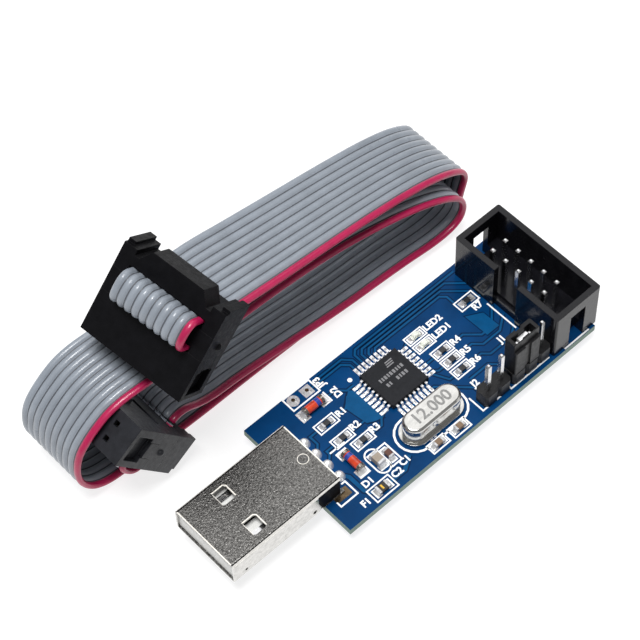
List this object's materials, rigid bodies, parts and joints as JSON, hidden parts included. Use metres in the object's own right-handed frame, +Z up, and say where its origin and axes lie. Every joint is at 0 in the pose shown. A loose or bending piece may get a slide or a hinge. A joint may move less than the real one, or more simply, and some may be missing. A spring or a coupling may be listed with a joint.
{
  "type": "usb_microcontroller_programmer",
  "caption": "USB microcontroller programmer: blue circuit board with USB plug, shrouded programming header, pin headers, and a folded ribbon cable with a socket on each end",
  "frame": {"origin": "bottom centre of the board assembly, cable left out; its solder tails rest on Z=0", "axes": "+X from the USB plug to the shrouded header, +Y across the board towards the cable, +Z up from the board's component face"},
  "size_m": [0.0753, 0.0425, 0.0345],
  "materials": {
    "usb_steel": "bright nickel plated",
    "white_plastic": "satin moulded",
    "gold_contact": "gold plated",
    "board_blue": "glossy solder mask",
    "solder": "bright solder",
    "chip_black": "fine matte moulded",
    "tinned_lead": "tin plated",
    "crystal_steel": "drawn, satin",
    "smoky_plastic": "smoky, slightly translucent",
    "black_plastic": "moulded",
    "resistor_black": "glazed",
    "ceramic_brown": "fired ceramic",
    "diode_glass": "clear, amber",
    "light_clear": "clear moulded",
    "ribbon_grey": "smooth, red edge conductor",
    "socket_charcoal": "satin moulded"
  },
  "bodies": {
    "board": {"capacitor_1": "ceramic_brown", "capacitor_2": "ceramic_brown", "capacitor_3": "ceramic_brown", "capacitor_4": "ceramic_brown", "circuit_board": "board_blue", "clock_header_base": "black_plastic", "clock_header_pins": "tinned_lead", "crystal_base": "crystal_steel", "crystal_can": "crystal_steel", "crystal_leads": "tinned_lead", "diode_1": "diode_glass", "diode_2": "diode_glass", "fuse": "resistor_black", "isp_header_pins": "tinned_lead", "isp_header_shroud": "smoky_plastic", "jumper_pad_solder": "solder", "light_1": "light_clear", "light_2": "light_clear", "microcontroller_body": "chip_black", "microcontroller_leads": "tinned_lead", "power_header_base": "black_plastic", "power_header_pins": "tinned_lead", "resistor_1": "resistor_black", "resistor_2": "resistor_black", "resistor_3": "resistor_black", "resistor_4": "resistor_black", "resistor_5": "resistor_black", "resistor_6": "resistor_black", "resistor_7": "resistor_black", "through_hole_solder": "solder", "usb_contacts": "gold_contact", "usb_shell": "usb_steel", "usb_tongue": "white_plastic"},
    "jumper": {"jumper_cap": "black_plastic", "jumper_clip": "gold_contact"},
    "cable": {"ribbon_cable": "ribbon_grey", "socket_a_body": "socket_charcoal", "socket_a_contacts": "gold_contact", "socket_a_cover": "socket_charcoal", "socket_a_strain_relief": "socket_charcoal", "socket_b_body": "socket_charcoal", "socket_b_contacts": "gold_contact", "socket_b_cover": "socket_charcoal", "socket_b_strain_relief": "socket_charcoal"}
  },
  "joints": [
    {"name": "jumper_lift", "type": "slide", "parent": "board", "child": "jumper", "axis": [0, 0, 1], "range_m": [0, 0.008]},
    {"name": "cable_slide", "type": "slide", "parent": "board", "child": "cable", "axis": [0, 1, 0], "range_m": [0, 0.05]}
  ]
}
